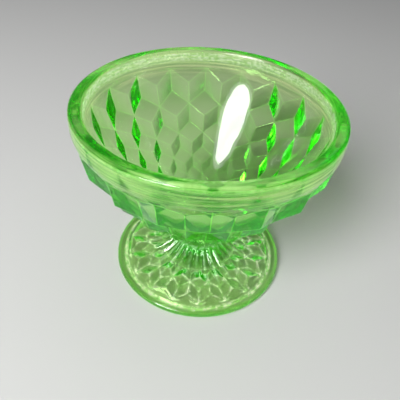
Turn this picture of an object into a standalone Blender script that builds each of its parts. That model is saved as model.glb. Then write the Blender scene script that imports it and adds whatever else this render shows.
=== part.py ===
"""A short-stemmed footed dish of pressed glass, the kind that sherbet is served in, standing on z = 0.

The real dish is one gather of glass pressed in one mould. It is modelled as its three natural
members, bowl, stem and foot, which are fused to each other along two flat rings.
Metres, +Z up. The origin is the middle of the ring that the dish stands on.
"""

import math

import bpy
import bmesh
from mathutils import Vector
from mathutils.geometry import interpolate_bezier

# Driving dimensions
HEIGHT = 0.0706
RIM_RADIUS = 0.0437
FOOT_RADIUS = 0.0334
WAIST_RADIUS = 0.0078
WALL = 0.0045
FOOT_EDGE = 0.0029
FUSED_GAP = 0.0003

# Where the members meet
FOOT_TOP = 0.0132
STEM_TOP = 0.0176
NECK_RADIUS = 0.0092
BOWL_BASE_RADIUS = 0.0082

# The outlines' curves: each is a start, its handle, the end's handle and an end, as (radius, height)
BAND_HEIGHT = 0.0046
BOWL_OUTSIDE = (
    (RIM_RADIUS, HEIGHT - BAND_HEIGHT),
    (RIM_RADIUS, HEIGHT - 0.0182),
    (BOWL_BASE_RADIUS + 0.0077, STEM_TOP),
    (BOWL_BASE_RADIUS, STEM_TOP + FUSED_GAP),
)
STEM_OUTSIDE = (
    (BOWL_BASE_RADIUS, STEM_TOP),
    (WAIST_RADIUS - 0.0002, STEM_TOP - 0.0010),
    (WAIST_RADIUS, FOOT_TOP + FUSED_GAP + 0.0015),
    (NECK_RADIUS, FOOT_TOP + FUSED_GAP),
)
FOOT_FLARE = ((NECK_RADIUS, FOOT_TOP), (0.0116, 0.0088), (0.0215, 0.0054), (0.0318, FOOT_EDGE))

# The belt of cubes pressed into the outside of the bowl
CUBE_COLUMNS = 18
CUBE_ROWS = 6
CUBE_START = 0.0621
CUBE_GROWTH = 0.352
CUBE_DEPTH = 0.050

# The bowl's inside and its lip
BOWL_FLOOR = 0.0242
LIP_HEIGHT = 0.0026
LIP_STEPS = 8
LIP_FULLNESS = 0.75
BOWL_INSIDE = (
    (0.0, BOWL_FLOOR),
    (0.0165, BOWL_FLOOR),
    (RIM_RADIUS - WALL, HEIGHT - 0.0165),
    (RIM_RADIUS - WALL, HEIGHT - LIP_HEIGHT),
)

# The hollow under the foot, inside the flat ring that the dish stands on
RING_INNER_RADIUS = 0.0296
HOLLOW_DEPTH = 0.0036
HOLLOW = ((RING_INNER_RADIUS, 0.0), (0.0270, 0.0026), (0.0150, HOLLOW_DEPTH), (0.0, HOLLOW_DEPTH))

# Facets round the dish: each half column of cubes is cut once more
HALF_COLUMNS = 2 * CUBE_COLUMNS
CUTS = 2
STEPS = CUTS * HALF_COLUMNS

# The stem has one flute to each half column of cubes
FLUTE_DEPTH = 0.05

GLASS = (0.47, 0.80, 0.36, 1.0)


def clear_scene():
    for obj in list(bpy.data.objects):
        bpy.data.objects.remove(obj, do_unlink=True)


def new_collection(name):
    collection = bpy.data.collections.new(name)
    bpy.context.scene.collection.children.link(collection)
    return collection


def glass_material(name):
    material = bpy.data.materials.new(name)
    material.use_nodes = True
    shader = material.node_tree.nodes["Principled BSDF"]
    shader.inputs["Base Color"].default_value = GLASS
    shader.inputs["Roughness"].default_value = 0.05
    shader.inputs["Metallic"].default_value = 0.0
    shader.inputs["Transmission Weight"].default_value = 0.8
    shader.inputs["IOR"].default_value = 1.52
    return material


def curve_points(curve, count):
    """Points (radius, height) along one cubic curve of an outline."""
    corners = [Vector((radius, height, 0.0)) for radius, height in curve]
    return [(p.x, p.y) for p in interpolate_bezier(*corners, count)]


def on_circle(radius, height, turn):
    return Vector((radius * math.cos(turn), radius * math.sin(turn), height))


def bowl_outline():
    """The bowl's mean outer side, from the foot of the rim band down to the stem."""
    return curve_points(BOWL_OUTSIDE, 400)


def cube_levels():
    """(radius, height) of each ring of the cube pattern, three to a row, from the top down.

    Every row is as tall as its own radius asks for, so the cubes shrink towards the stem
    and keep their proportions.
    """
    outline = bowl_outline()
    wanted = [CUBE_GROWTH * ring / 3 for ring in range(3 * CUBE_ROWS + 1)]
    levels = []
    travelled = 0.0
    for (r0, z0), (r1, z1) in zip(outline, outline[1:]):
        if z0 > CUBE_START:
            continue
        while len(levels) < len(wanted) and travelled >= wanted[len(levels)]:
            levels.append((r0, z0))
        travelled += math.hypot(r1 - r0, z1 - z0) / ((r0 + r1) / 2)
    return levels


def cube_corner(levels, column, ring):
    """A point of the pattern's coarse grid.

    Each cube shows three faces. Six edges meet on every third ring, on the mean surface.
    One ring below, pits lie between them, and one ring lower still, peaks stand out.
    """
    row, third = divmod(ring, 3)
    turn = math.pi * column / CUBE_COLUMNS
    radius, height = levels[ring]
    odd = (column + row) % 2
    if third == 0:
        if odd:
            return (cube_corner(levels, column - 1, ring) + cube_corner(levels, column + 1, ring)) / 2
        return on_circle(radius, height, turn)
    if third == 1:
        if odd:
            return on_circle(radius * (1 - CUBE_DEPTH), height, turn)
        return (cube_corner(levels, column, ring - 1) + cube_corner(levels, column, ring + 1)) / 2
    if odd:
        return (cube_corner(levels, column, ring - 1) + cube_corner(levels, column, ring + 1)) / 2
    return on_circle(radius * (1 + CUBE_DEPTH), height, turn)


def cube_rings(levels):
    """The pattern's rings of points, with CUTS points to a half column and CUTS rings to a third."""
    rings = []
    last = len(levels) - 1
    for step in range(CUTS * last + 1):
        ring, down = min(step // CUTS, last - 1), step / CUTS
        down -= ring
        points = []
        for place in range(STEPS):
            column, across = place // CUTS, (place % CUTS) / CUTS
            if (column + ring // 3) % 2:
                column, side, across = column + 1, -1, 1 - across
            else:
                side = 1
            a, b, c, d = (
                cube_corner(levels, column + side * over, ring + under)
                for over, under in ((0, 0), (1, 0), (1, 1), (0, 1))
            )
            if ring % 3 == 1:
                top, bottom = a.lerp(b, across), d.lerp(c, across)
                points.append(top.lerp(bottom, down))
            elif across >= down:
                points.append(a + (across - down) * (b - a) + down * (c - a))
            else:
                points.append(a + across * (c - a) + (down - across) * (d - a))
        rings.append(points)
    return rings


def round_ring(radius, height):
    return [on_circle(radius, height, 2 * math.pi * place / STEPS) for place in range(STEPS)]


def loft(name, rings, material, collection, leans_left=lambda number, place: False):
    """One closed solid through rings of STEPS points, flat across its first and last ring.

    leans_left(number, place) says which way the four-sided face below that ring is cut in two:
    from its upper right corner down to the left, or else from its upper left one to the right.
    """
    bm = bmesh.new()
    grid = [[bm.verts.new(point) for point in ring] for ring in rings]
    bm.faces.new(grid[0])
    bm.faces.new(grid[-1])
    for number, (upper, lower) in enumerate(zip(grid, grid[1:])):
        for place in range(STEPS):
            after = (place + 1) % STEPS
            a, b, c, d = upper[place], upper[after], lower[after], lower[place]
            if leans_left(number, place):
                bm.faces.new((a, b, d))
                bm.faces.new((b, c, d))
            else:
                bm.faces.new((a, b, c))
                bm.faces.new((a, c, d))
    bmesh.ops.recalc_face_normals(bm, faces=bm.faces)
    mesh = bpy.data.meshes.new(name)
    bm.to_mesh(mesh)
    bm.free()
    mesh.materials.append(material)
    obj = bpy.data.objects.new(name, mesh)
    collection.objects.link(obj)
    return obj


def turned(name, outline, material, collection):
    """One closed solid turned about Z from an outline of (radius, height) that ends on the axis."""
    mesh = bpy.data.meshes.new(name)
    points = [(radius, 0.0, height) for radius, height in outline]
    mesh.from_pydata(points, [(n, n + 1) for n in range(len(points) - 1)], [])
    mesh.materials.append(material)
    obj = bpy.data.objects.new(name, mesh)
    collection.objects.link(obj)
    screw = obj.modifiers.new("turn", "SCREW")
    screw.axis = "Z"
    screw.steps = screw.render_steps = STEPS
    screw.use_merge_vertices = True
    screw.merge_threshold = 0.00001
    screw.use_smooth_shade = True
    return obj


def add_bowl(collection):
    """The bowl: a plain inside, a rounded lip, a plain rim band, and six rows of cubes below it."""
    inside = curve_points(BOWL_INSIDE, 12)[1:]
    lip = []
    for step in range(1, LIP_STEPS):
        turn = math.pi * (1 - step / LIP_STEPS)
        across = math.copysign(abs(math.cos(turn)) ** LIP_FULLNESS, math.cos(turn))
        radius = RIM_RADIUS - WALL / 2 + across * WALL / 2
        lip.append((radius, HEIGHT - LIP_HEIGHT + LIP_HEIGHT * math.sin(turn) ** LIP_FULLNESS))
    levels = cube_levels()
    band = [point for point in bowl_outline()[::40] if point[1] > CUBE_START + 0.0004]
    rings = [round_ring(radius, height) for radius, height in inside + lip + band]
    first_cubed = len(rings)
    rings += cube_rings(levels)
    last_cubed = len(rings) - 1
    rings.append(round_ring(BOWL_BASE_RADIUS, STEM_TOP + FUSED_GAP))

    def leans_left(number, place):
        if not first_cubed <= number < last_cubed:
            return False
        row = (number - first_cubed) // CUTS // 3
        return (place // CUTS + row) % 2 == 1

    return loft("bowl", rings, glass_material("bowl_glass"), collection, leans_left)


def add_stem(collection):
    """The stem: a short solid waist with fine upright flutes."""
    rings = []
    for radius, height in curve_points(STEM_OUTSIDE, 7):
        ring = []
        for place in range(STEPS):
            groove = 1 - FLUTE_DEPTH * (place % 2)
            ring.append(on_circle(radius * groove, height, 2 * math.pi * place / STEPS))
        rings.append(ring)
    return loft("stem", rings, glass_material("stem_glass"), collection)


def add_foot(collection):
    """The foot: a flared disc with a rounded edge, on a flat ring round a shallow hollow."""
    flare = curve_points(FOOT_FLARE, 12)
    edge = []
    half = FOOT_EDGE / 2
    for degrees in range(60, -91, -25):
        turn = math.radians(degrees)
        edge.append((FOOT_RADIUS - half + half * math.cos(turn), half * (1 + math.sin(turn))))
    hollow = curve_points(HOLLOW, 9)
    outline = [(0.0, FOOT_TOP)] + flare + edge + hollow
    return turned("foot", outline, glass_material("foot_glass"), collection)


clear_scene()
dish = new_collection("footed_dish")
add_bowl(dish)
add_stem(dish)
add_foot(dish)
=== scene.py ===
import math

import bmesh
import bpy
import numpy as np
from mathutils import Matrix, Vector


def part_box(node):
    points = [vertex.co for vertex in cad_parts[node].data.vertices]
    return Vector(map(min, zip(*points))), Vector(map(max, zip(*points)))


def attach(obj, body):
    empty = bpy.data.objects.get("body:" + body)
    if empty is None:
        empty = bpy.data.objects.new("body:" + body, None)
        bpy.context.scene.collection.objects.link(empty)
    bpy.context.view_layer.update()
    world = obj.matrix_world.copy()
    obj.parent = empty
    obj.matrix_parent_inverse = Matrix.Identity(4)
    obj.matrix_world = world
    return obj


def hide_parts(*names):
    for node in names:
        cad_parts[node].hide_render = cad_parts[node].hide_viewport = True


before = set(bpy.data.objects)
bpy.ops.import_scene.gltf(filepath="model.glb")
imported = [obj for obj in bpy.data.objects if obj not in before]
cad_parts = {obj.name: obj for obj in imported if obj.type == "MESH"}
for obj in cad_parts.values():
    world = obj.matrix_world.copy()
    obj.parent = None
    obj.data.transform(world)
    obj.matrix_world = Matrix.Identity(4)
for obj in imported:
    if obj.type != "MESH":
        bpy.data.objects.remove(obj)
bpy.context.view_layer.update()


# The dish: one gather of uranium glass, pressed in a mould whose outside is cut with rows of small
# cubes, then polished in the flame round the lip. Inside of the bowl, lip, band, cubes, stem, foot
# and the hollow under the foot are one unbroken skin, because the real piece is one piece of glass.

COLUMNS = 18
HALF_COLUMNS = 2 * COLUMNS
CUBE_ROWS = 6
CUBE_GROWTH = 0.352
CUBE_DEPTH = 0.050

WALL = 0.0045
BOWL_FLOOR = 0.0242
LIP_HEIGHT = 0.0026

bowl_low, bowl_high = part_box("bowl")
foot_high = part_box("foot")[1]
RIM_RADIUS = bowl_high.x
HEIGHT = bowl_high.z
BOWL_BASE = bowl_low.z
CUBE_START = HEIGHT - 0.0085
STEM_RADIUS = 0.0082
WAIST_RADIUS = 0.0078
NECK_RADIUS = 0.0092
FOOT_RADIUS = foot_high.x
FOOT_TOP = foot_high.z
FOOT_EDGE = 0.0029
RING_INNER_RADIUS = 0.0296
HOLLOW_DEPTH = 0.0036


def curve_points(start, start_handle, end_handle, end, count):
    """Points (radius, height) along one cubic curve, both ends included."""
    corners = [Vector(corner) for corner in (start, start_handle, end_handle, end)]
    points = []
    for step in range(count):
        t = step / (count - 1)
        weights = ((1 - t) ** 3, 3 * t * (1 - t) ** 2, 3 * t * t * (1 - t), t**3)
        point = sum((weight * corner for weight, corner in zip(weights, corners)), Vector((0, 0)))
        points.append((point.x, point.y))
    return points


def cage_of(points):
    """The cage rings whose smoothed skin passes through these points of an outline."""
    count = len(points)
    pull = np.eye(count) * 4 / 6
    for n in range(1, count - 1):
        pull[n, n - 1] = pull[n, n + 1] = 1 / 6
    pull[0, 0] = pull[-1, -1] = 1
    cage = np.linalg.solve(pull, np.array(points))
    cage[:, 0] *= 3 / (2 + math.cos(2 * math.pi / HALF_COLUMNS))
    return [tuple(point) for point in cage]


def rows_down(outline, start, rows):
    """The outline's points at the cube rings, three rings to a row, each row as tall as its radius asks."""
    rings, travelled = [], 0.0
    for (r0, z0), (r1, z1) in zip(outline, outline[1:]):
        if start(r0, z0):
            while len(rings) <= 3 * rows and travelled >= CUBE_GROWTH * len(rings) / 3:
                rings.append((r0, z0))
            travelled += math.hypot(r1 - r0, z1 - z0) / ((r0 + r1) / 2)
    return rings


inner_wall = curve_points(
    (0.0012, BOWL_FLOOR),
    (0.0165, BOWL_FLOOR),
    (RIM_RADIUS - WALL, HEIGHT - 0.0165),
    (RIM_RADIUS - WALL, HEIGHT - LIP_HEIGHT),
    15,
)
lip = []
for step in range(1, 8):
    turn = math.pi * (1 - step / 8)
    across = math.copysign(abs(math.cos(turn)) ** 0.75, math.cos(turn))
    rise = LIP_HEIGHT * math.sin(turn) ** 0.75
    lip.append((RIM_RADIUS - WALL / 2 + across * WALL / 2, HEIGHT - LIP_HEIGHT + rise))
outer_wall = curve_points(
    (RIM_RADIUS, HEIGHT - 0.0046),
    (RIM_RADIUS, HEIGHT - 0.0182),
    (STEM_RADIUS + 0.0077, BOWL_BASE - 0.0003),
    (STEM_RADIUS, BOWL_BASE),
    2000,
)
band = [(RIM_RADIUS, HEIGHT - 0.0042)]
band += [point for point in outer_wall[90:400:100] if point[1] > CUBE_START + 0.0006]
cube_rings = rows_down(outer_wall, lambda r, z: z <= CUBE_START, CUBE_ROWS)
waist = curve_points(
    (STEM_RADIUS + 0.0002, BOWL_BASE - 0.0004),
    (WAIST_RADIUS - 0.0004, BOWL_BASE - 0.0014),
    (WAIST_RADIUS, FOOT_TOP + 0.0018),
    (NECK_RADIUS, FOOT_TOP),
    5,
)
flare = curve_points(
    (NECK_RADIUS, FOOT_TOP),
    (0.0116, 0.0088),
    (0.0215, 0.0054),
    (0.0318, FOOT_EDGE),
    12,
)[1:]
edge = []
for degrees in range(50, -91, -35):
    turn = math.radians(degrees)
    half = FOOT_EDGE / 2
    edge.append((FOOT_RADIUS - half + half * math.cos(turn), half * (1 + math.sin(turn))))
ring = [(0.0308, 0.0), (RING_INNER_RADIUS, 0.0001)]
hollow = curve_points(
    (0.0290, 0.0009),
    (0.0270, 0.0030),
    (0.0150, HOLLOW_DEPTH),
    (0.0012, HOLLOW_DEPTH),
    2000,
)
FOOT_CUBE_ROWS = 2
FOOT_CUBE_DEPTH = 0.0007
foot_rings = rows_down(hollow, lambda r, z: r <= 0.0282, FOOT_CUBE_ROWS)
ceiling = [(0.0070, HOLLOW_DEPTH), (0.0035, HOLLOW_DEPTH), (0.0012, HOLLOW_DEPTH)]

upper_skin = cage_of(inner_wall + lip + band)
lower_skin = cage_of(waist + flare + edge + ring)
rings = upper_skin + cube_rings + lower_skin + foot_rings + ceiling

bpy.ops.object.select_all(action="DESELECT")
radius, height = rings[0]
bpy.ops.mesh.primitive_circle_add(vertices=HALF_COLUMNS, radius=radius, location=(0, 0, height))
dish = bpy.context.object
dish.name = "pressed_glass_dish"
bpy.ops.object.transform_apply(location=True)
bpy.ops.object.mode_set(mode="EDIT")
bpy.ops.mesh.select_all(action="SELECT")
for next_radius, next_height in rings[1:]:
    bpy.ops.mesh.extrude_region_move(TRANSFORM_OT_translate={"value": (0, 0, next_height - height)})
    scale = next_radius / radius
    bpy.ops.transform.resize(value=(scale, scale, 1), center_override=(0, 0, next_height))
    radius, height = next_radius, next_height
bpy.ops.mesh.extrude_region_move()
bpy.ops.mesh.merge(type="CENTER")

# Every point of the pattern is one of these. Six edges meet at a star. One ring on, a pit lies between
# two stars, and one further a peak stands out below a star. The rest only lie on edges or in faces.
STAR, FLAT, PIT, HALFWAY, PEAK, BORDER = range(1, 7)
SAME_PLACE = 2e-5
PATTERN = ((STAR, FLAT), (HALFWAY, PIT), (PEAK, HALFWAY))


def pattern_mark(point, levels):
    """Which point of the cube pattern this is, or 0 when it lies on none of the pattern's rings."""
    for number, (ring_radius, ring_height) in enumerate(levels):
        if abs(point.z - ring_height) < SAME_PLACE and abs(point.xy.length - ring_radius) < SAME_PLACE:
            column = round(HALF_COLUMNS * math.atan2(point.y, point.x) / (2 * math.pi))
            row, third = divmod(number, 3)
            mark = PATTERN[third][(column + row) % 2]
            return BORDER if mark == FLAT and number in (0, len(levels) - 1) else mark
    return 0


def pick(chosen, kind="VERT"):
    """Selects the dish's points, edges or faces for which chosen(marks, points) is true."""
    bpy.ops.mesh.select_mode(type=kind)
    bpy.ops.mesh.select_all(action="DESELECT")
    bm = bmesh.from_edit_mesh(dish.data)
    layer = bm.verts.layers.int["mark"]
    for part in {"VERT": bm.verts, "EDGE": bm.edges, "FACE": bm.faces}[kind]:
        verts = [part] if kind == "VERT" else part.verts
        part.select_set(bool(chosen([vert[layer] for vert in verts], [vert.co for vert in verts])))
    bm.select_flush_mode()
    bmesh.update_edit_mesh(dish.data)


def mark_points(levels):
    """Writes each point's pattern_mark into the mesh."""
    bm = bmesh.from_edit_mesh(dish.data)
    layer = bm.verts.layers.int.get("mark") or bm.verts.layers.int.new("mark")
    for vert in bm.verts:
        vert[layer] = pattern_mark(vert.co, levels)
    bmesh.update_edit_mesh(dish.data)


def press_cubes(levels, push):
    """Cuts rows of cubes into the rings at these levels. push(way) moves the picked points out or in."""
    mark_points(levels)
    for pair in ((STAR, PIT), (STAR, PEAK)):
        pick(lambda marks, points: marks[0] in pair)
        bpy.ops.mesh.vert_connect()
    pick(
        lambda marks, points: all(marks)
        and (FLAT in marks or (points[0].xy - points[1].xy).length > 1e-6
             and abs(points[0].xy.length - points[1].xy.length) < SAME_PLACE
             and not {STAR, BORDER} >= set(marks)),
        "EDGE",
    )
    bpy.ops.mesh.dissolve_edges(use_verts=True)
    pick(lambda marks, points: marks[0] == PEAK)
    push(1)
    pick(lambda marks, points: marks[0] == PIT)
    push(-1)
    pick(lambda marks, points: marks[0] == BORDER)
    chord = math.cos(math.pi / COLUMNS)
    bpy.ops.transform.resize(value=(chord, chord, 1), center_override=(0, 0, 0))
    pick(lambda marks, points: all(marks), "EDGE")
    bpy.ops.transform.edge_crease(value=1)


def push_sideways(way):
    """Moves the picked points away from the axis, or toward it when way is -1."""
    scale = 1 + way * CUBE_DEPTH
    bpy.ops.transform.resize(value=(scale, scale, 1), center_override=(0, 0, 0))


def push_down(way):
    """Moves the picked points down, or up when way is -1."""
    bpy.ops.transform.translate(value=(0, 0, -way * FOOT_CUBE_DEPTH))


press_cubes(cube_rings, push_sideways)
press_cubes(foot_rings, push_down)

# The floor of the bowl is closed last, and the rings are then smoothed into one round skin.
inner_radius, inner_height = rings[0]
pick(
    lambda marks, points: abs(points[0].z - inner_height) < 1e-5
    and points[0].xy.length < inner_radius + 1e-5
)
bpy.ops.mesh.extrude_region_move()
bpy.ops.mesh.merge(type="CENTER")
bpy.ops.mesh.select_all(action="SELECT")
bpy.ops.mesh.normals_make_consistent(inside=False)
bpy.ops.object.mode_set(mode="OBJECT")
skin = dish.modifiers.new("skin", "SUBSURF")
skin.levels = skin.render_levels = 2
bpy.ops.object.modifier_apply(modifier="skin")
bpy.ops.object.shade_smooth()

# The foot's upper side is pressed into round flutes, which meet in ridges that run out from the neck.
FLUTES = 30
FLUTE_DEPTH = 0.0011
FLUTE_START, FLUTE_FULL, FLUTE_FADE, FLUTE_END = 0.0082, 0.0104, 0.0180, 0.0240


def smooth_step(values, start, end):
    """0 up to start, 1 from end on, and a soft climb between them."""
    t = np.clip((values - start) / (end - start), 0, 1)
    return t * t * (3 - 2 * t)


def flute_reach(radii, heights):
    """How deep the flutes are at each vertex, as a share of FLUTE_DEPTH."""
    on_flare = (heights < BOWL_BASE) & (heights > HOLLOW_DEPTH + 0.0012)
    swell = smooth_step(radii, FLUTE_START, FLUTE_FULL)
    return swell * (1 - smooth_step(radii, FLUTE_FADE, FLUTE_END)) * on_flare


def each_vertex(mesh):
    """The places, radii, angles about the axis, and heights of a mesh's vertices."""
    places = np.empty(3 * len(mesh.vertices), np.float32)
    mesh.vertices.foreach_get("co", places)
    places = places.reshape(-1, 3)
    return places, np.hypot(places[:, 0], places[:, 1]), np.arctan2(places[:, 1], places[:, 0]), places[:, 2]


places, radii, turns, heights = each_vertex(dish.data)
normals = np.empty(places.size, np.float32)
dish.data.vertex_normals.foreach_get("vector", normals)
groove = np.sqrt(np.sin(FLUTES * turns / 2) ** 2 + 0.01)
places -= (FLUTE_DEPTH * flute_reach(radii, heights) * groove)[:, None] * normals.reshape(-1, 3)

# The flame that polished the lip left its inner side in slow, uneven waves.
RIPPLE_DEPTH = 0.00010
RIPPLE_TOP, RIPPLE_LOW = HEIGHT - 0.0012, HEIGHT - 0.0110
in_bowl = (radii < RIM_RADIUS - 0.5 * WALL) & (heights > RIPPLE_LOW)
near_lip = smooth_step(heights, RIPPLE_LOW, RIPPLE_TOP) * in_bowl
waves = np.sin(7 * turns + 900 * heights) + np.sin(19 * turns + 1.7) + np.sin(31 * turns - 1400 * heights)
places -= (RIPPLE_DEPTH * near_lip * waves / 3)[:, None] * normals.reshape(-1, 3)
places[:, 2] = np.clip(places[:, 2], 0, HEIGHT)
dish.data.vertices.foreach_set("co", places.ravel())
dish.data.update()

# The cubes' edges are a little rounded, as the worn mould left them, and each face stays flat.
# The attribute "glow" holds how much painted glow each point gets, an emission standing in for light that
# gathers in the glass, and is high along such an edge.
CRISP_ANGLE = math.radians(7)
EDGE_ROUNDING_PERCENT = 14
CUBE_EDGE_GLOW = 0.85
bpy.ops.object.mode_set(mode="EDIT")
bpy.ops.mesh.select_mode(type="EDGE")
bpy.ops.mesh.select_all(action="DESELECT")
bpy.ops.mesh.edges_select_sharp(sharpness=CRISP_ANGLE)
bm = bmesh.from_edit_mesh(dish.data)
for edge in bm.edges:
    middle = (edge.verts[0].co + edge.verts[1].co) / 2
    on_bowl = cube_rings[-1][1] - 0.0003 < middle.z < cube_rings[0][1] + 0.0003
    under_foot = middle.z < HOLLOW_DEPTH + 0.001 and middle.xy.length < foot_rings[0][0] + 0.0004
    if not (on_bowl or under_foot):
        edge.select_set(False)
bmesh.update_edit_mesh(dish.data)
bpy.ops.mesh.bevel(
    offset_type="PERCENT", offset_pct=EDGE_ROUNDING_PERCENT, segments=2, affect="EDGES"
)
bm = bmesh.from_edit_mesh(dish.data)
glow = bm.verts.layers.float.new("glow")
for vert in bm.verts:
    rounded = sum(face.select for face in vert.link_faces) / len(vert.link_faces)
    on_bowl = vert.co.z > BOWL_BASE
    vert[glow] = CUBE_EDGE_GLOW * (rounded == 1) if on_bowl else rounded * rounded
bmesh.update_edit_mesh(dish.data)
bpy.ops.object.mode_set(mode="OBJECT")

# Painted glow also goes on the flutes' ridges, the lip, the foot's edge and the neck. The attribute "dust"
# turns that glow whitish as painted reflection on a band inside the lip and over the foot, where a thin line
# round the standing ring is a painted highlight.
LIP_GLOW, FOOT_EDGE_GLOW, NECK_GLOW = 0.12, 0.4, 0.35
LIP_REFLECTION_GLOW, RING_HIGHLIGHT_GLOW = 0.45, 0.6
INSIDE_FOOT_EDGE = FOOT_RADIUS - 0.0014
places, radii, turns, heights = each_vertex(dish.data)
glow = np.empty(len(radii), np.float32)
dish.data.attributes["glow"].data.foreach_get("value", glow)
glow += flute_reach(radii, heights) * (1 - np.abs(np.sin(FLUTES * turns / 2))) ** 4
glow[heights > HEIGHT - 0.0016] = LIP_GLOW
glow[(radii > INSIDE_FOOT_EDGE) & (heights < 0.01)] = FOOT_EDGE_GLOW
glow[(radii < 0.0098) & (np.abs(heights - FOOT_TOP) < 0.0045)] = NECK_GLOW
# Painted reflection: a whitish glowing band just inside the lip.
lip_reflection_band = smooth_step(heights, HEIGHT - 0.0054, HEIGHT - 0.0034) * (heights < HEIGHT - 0.0012)
lip_reflection_band *= radii < RIM_RADIUS - 0.6 * WALL
glow = np.maximum(glow, LIP_REFLECTION_GLOW * lip_reflection_band)
# Painted highlight: a thin glowing line round the standing ring.
ring_highlight = smooth_step(radii, 0.0286, 0.0294) * (1 - smooth_step(radii, 0.0300, 0.0307))
glow = np.maximum(glow, RING_HIGHLIGHT_GLOW * ring_highlight * (heights < 0.0009))
# Where the painted glow is whitish painted reflection: the band inside the lip, and the foot.
whitish_reflection = np.maximum(lip_reflection_band, (heights < 0.0125) & (radii < INSIDE_FOOT_EDGE))
dish.data.attributes.new("whitish_reflection", "FLOAT", "POINT").data.foreach_set("value", whitish_reflection.astype(np.float32))
dish.data.attributes["glow"].data.foreach_set("value", glow)
even = dish.modifiers.new("even", "WEIGHTED_NORMAL")
bpy.ops.object.modifier_apply(modifier="even")


# Uranium glass: clear yellow-green that deepens with thickness. A faint green painted glow, an emission
# standing in for gathered light, lies over all of it and is strongest along edges. The band near the lip is
# drawn out in fine level streaks from pressing and polishing, which also carry a whitish painted sheen, and
# the ring that the dish stands on is ground dull by use.

def glass_material(name):
    material = bpy.data.materials.new(name)
    material.use_nodes = True
    nodes, links = material.node_tree.nodes, material.node_tree.links
    shader = nodes["Principled BSDF"]
    shader.inputs["IOR"].default_value = 1.52
    shader.inputs["Transmission Weight"].default_value = 1.0
    shader.inputs["Emission Strength"].default_value = 1.0

    def noise(scale, detail):
        """A noise in object space. The three scales stretch it along X, Y and Z."""
        mapping = nodes.new("ShaderNodeMapping")
        mapping.inputs["Scale"].default_value = scale
        texture = nodes.new("ShaderNodeTexNoise")
        texture.inputs["Scale"].default_value = 1.0
        texture.inputs["Detail"].default_value = detail
        links.new(coordinates.outputs["Object"], mapping.inputs["Vector"])
        links.new(mapping.outputs["Vector"], texture.inputs["Vector"])
        return texture.outputs["Fac"]

    def ranged(value, start, end, low, high):
        """The value, where start to end becomes low to high, and it stays there beyond."""
        span = nodes.new("ShaderNodeMapRange")
        span.interpolation_type = "SMOOTHSTEP"
        for socket, number in zip(("From Min", "From Max", "To Min", "To Max"), (start, end, low, high)):
            span.inputs[socket].default_value = number
        links.new(value, span.inputs["Value"])
        return span.outputs["Result"]

    def maths(operation, first, second):
        """One sum on two values, each a number or another node's output."""
        node = nodes.new("ShaderNodeMath")
        node.operation = operation
        for socket, value in zip(node.inputs, (first, second)):
            if isinstance(value, float):
                socket.default_value = value
            else:
                links.new(value, socket)
        return node.outputs["Value"]

    def blended(factor, first, second):
        """A mix of two colours, each a colour or another node's output."""
        node = nodes.new("ShaderNodeMix")
        node.data_type = "RGBA"
        links.new(factor, node.inputs["Factor"])
        for socket, colour in zip((node.inputs[6], node.inputs[7]), (first, second)):
            if isinstance(colour, tuple):
                socket.default_value = colour
            else:
                links.new(colour, socket)
        return node.outputs[2]

    coordinates = nodes.new("ShaderNodeTexCoord")
    split = nodes.new("ShaderNodeSeparateXYZ")
    links.new(coordinates.outputs["Object"], split.inputs["Vector"])
    height = split.outputs["Z"]
    glow = nodes.new("ShaderNodeAttribute")
    glow.attribute_name = "glow"

    on_band = ranged(height, HEIGHT - 0.0118, HEIGHT - 0.0055, 0.0, 1.0)
    streaks = ranged(noise((45.0, 45.0, 1500.0), 4.0), 0.42, 0.66, 0.0, 1.0)
    # The streaks roughen and ripple the band, and also give it a whitish painted sheen through the emission.
    band_streaks_and_sheen = maths("MULTIPLY", streaks, on_band)
    slow_waves = noise((140.0, 140.0, 140.0), 2.0)
    worn = ranged(height, 0.0004, 0.0001, 0.0, 1.0)
    smears = ranged(noise((220.0, 160.0, 300.0), 5.0), 0.35, 0.75, 0.012, 0.09)

    tint = blended(slow_waves, (0.76, 0.86, 0.55, 1), (0.85, 0.91, 0.68, 1))
    links.new(tint, shader.inputs["Base Color"])
    rough = maths("ADD", smears, maths("MULTIPLY", band_streaks_and_sheen, 0.20))
    rough = maths("ADD", rough, maths("MULTIPLY", worn, 0.40))
    links.new(rough, shader.inputs["Roughness"])
    whitish_reflection = nodes.new("ShaderNodeAttribute")
    whitish_reflection.attribute_name = "whitish_reflection"
    # Painted reflection: noise that breaks the whitish painted reflections into grains.
    reflection_grain = ranged(noise((800.0, 800.0, 1500.0), 6.0), 0.42, 0.60, 0.0, 1.0)
    # Painted glow: a faint green emission over the whole glass, with a whitish painted sheen on the band's
    # streaks.
    body = blended(band_streaks_and_sheen, (0.003, 0.014, 0.001, 1), (0.170, 0.150, 0.090, 1))
    # Painted reflection colours: grey-white on the lip band, pinkish white on the foot.
    reflection_white = blended(ranged(height, 0.0050, 0.0044, 0.0, 1.0), (0.55, 0.62, 0.52, 1), (1.0, 0.80, 1.0, 1))
    edge_light = blended(maths("MULTIPLY", whitish_reflection.outputs["Fac"], reflection_grain), (0.060, 0.250, 0.012, 1), reflection_white)
    light = blended(glow.outputs["Fac"], body, edge_light)
    links.new(light, shader.inputs["Emission Color"])
    bump = nodes.new("ShaderNodeBump")
    bump.inputs["Distance"].default_value = 0.00006
    relief = maths("ADD", slow_waves, maths("MULTIPLY", band_streaks_and_sheen, 0.18))
    links.new(relief, bump.inputs["Height"])
    links.new(bump.outputs["Normal"], shader.inputs["Normal"])
    absorption = nodes.new("ShaderNodeVolumeAbsorption")
    absorption.inputs["Color"].default_value = (0.36, 0.925, 0.06, 1)
    absorption.inputs["Density"].default_value = 112.0
    links.new(absorption.outputs["Volume"], nodes["Material Output"].inputs["Volume"])
    return material


dish.data.materials.append(glass_material("uranium_glass"))
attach(dish, "root")
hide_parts("bowl", "stem", "foot")


# The floor is a plain pale sweep, and is not part of the dish.

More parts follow.
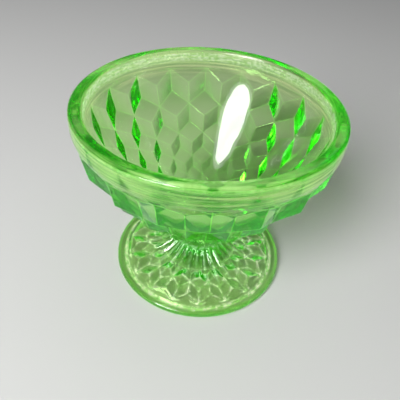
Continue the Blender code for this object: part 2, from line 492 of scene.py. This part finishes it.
bpy.ops.object.select_all(action="DESELECT")
bpy.ops.mesh.primitive_plane_add(size=8.0, location=(0, 0, -0.0002))
floor = bpy.context.object
floor.name = "floor"
paper = bpy.data.materials.new("pale_floor")
paper.use_nodes = True
paper_shader = paper.node_tree.nodes["Principled BSDF"]
paper_shader.inputs["Base Color"].default_value = (0.54, 0.54, 0.53, 1)
paper_shader.inputs["Roughness"].default_value = 0.6
floor.data.materials.append(paper)


# Light: a dim grey room, a bright oval window with a softer blind round it, and an overcast sky.

world = bpy.data.worlds.new("room")
bpy.context.scene.world = world
world.use_nodes = True
world.node_tree.nodes["Background"].inputs["Color"].default_value = (0.75, 0.77, 0.80, 1)
world.node_tree.nodes["Background"].inputs["Strength"].default_value = 0.14


def soft_panel(name, place, width, height, power):
    """A soft oval light that faces the dish."""
    bpy.ops.object.light_add(type="AREA", location=place)
    panel = bpy.context.object
    panel.name = name
    panel.data.shape = "ELLIPSE"
    panel.data.size, panel.data.size_y = width, height
    panel.data.energy = power
    toward = Vector((0, 0, HEIGHT / 2)) - Vector(place)
    panel.rotation_euler = toward.to_track_quat("-Z", "Y").to_euler()
    return panel


soft_panel("window", (-0.295, -0.530, 0.505), 0.33, 0.56, 7.6)
soft_panel("window_blind", (-0.297, -0.534, 0.518), 0.42, 0.66, 2.4)
bpy.ops.object.light_add(type="SUN", rotation=(math.radians(-20), math.radians(12), 0))
sky = bpy.context.object
sky.name = "overcast_sky"
sky.data.energy = 0.4
sky.data.angle = math.radians(70)
bpy.context.scene.view_settings.view_transform = "Standard"

# Inside a thick wall light is thrown from side to side many times before it leaves.
bpy.context.scene.cycles.glossy_bounces = 12
bpy.context.scene.cycles.transmission_bounces = 16
bpy.context.scene.cycles.max_bounces = 20

# The camera stands as high and as near as someone looking down at the dish on a table.

CAMERA_TURN = math.radians(6.6)
CAMERA_TILT = math.radians(90 - 41.49)
CAMERA_ROLL = math.radians(4.42)
bpy.ops.object.camera_add()
camera = bpy.context.object
place = Matrix.Rotation(CAMERA_TURN, 4, "Z") @ Matrix.Translation((-0.0008, -0.1197, 0.1343))
camera.matrix_world = place @ Matrix.Rotation(CAMERA_TILT, 4, "X") @ Matrix.Rotation(CAMERA_ROLL, 4, "Z")
camera.data.lens = 37.8
camera.data.sensor_width = 36.0
camera.data.clip_start = 0.005
bpy.context.scene.camera = camera
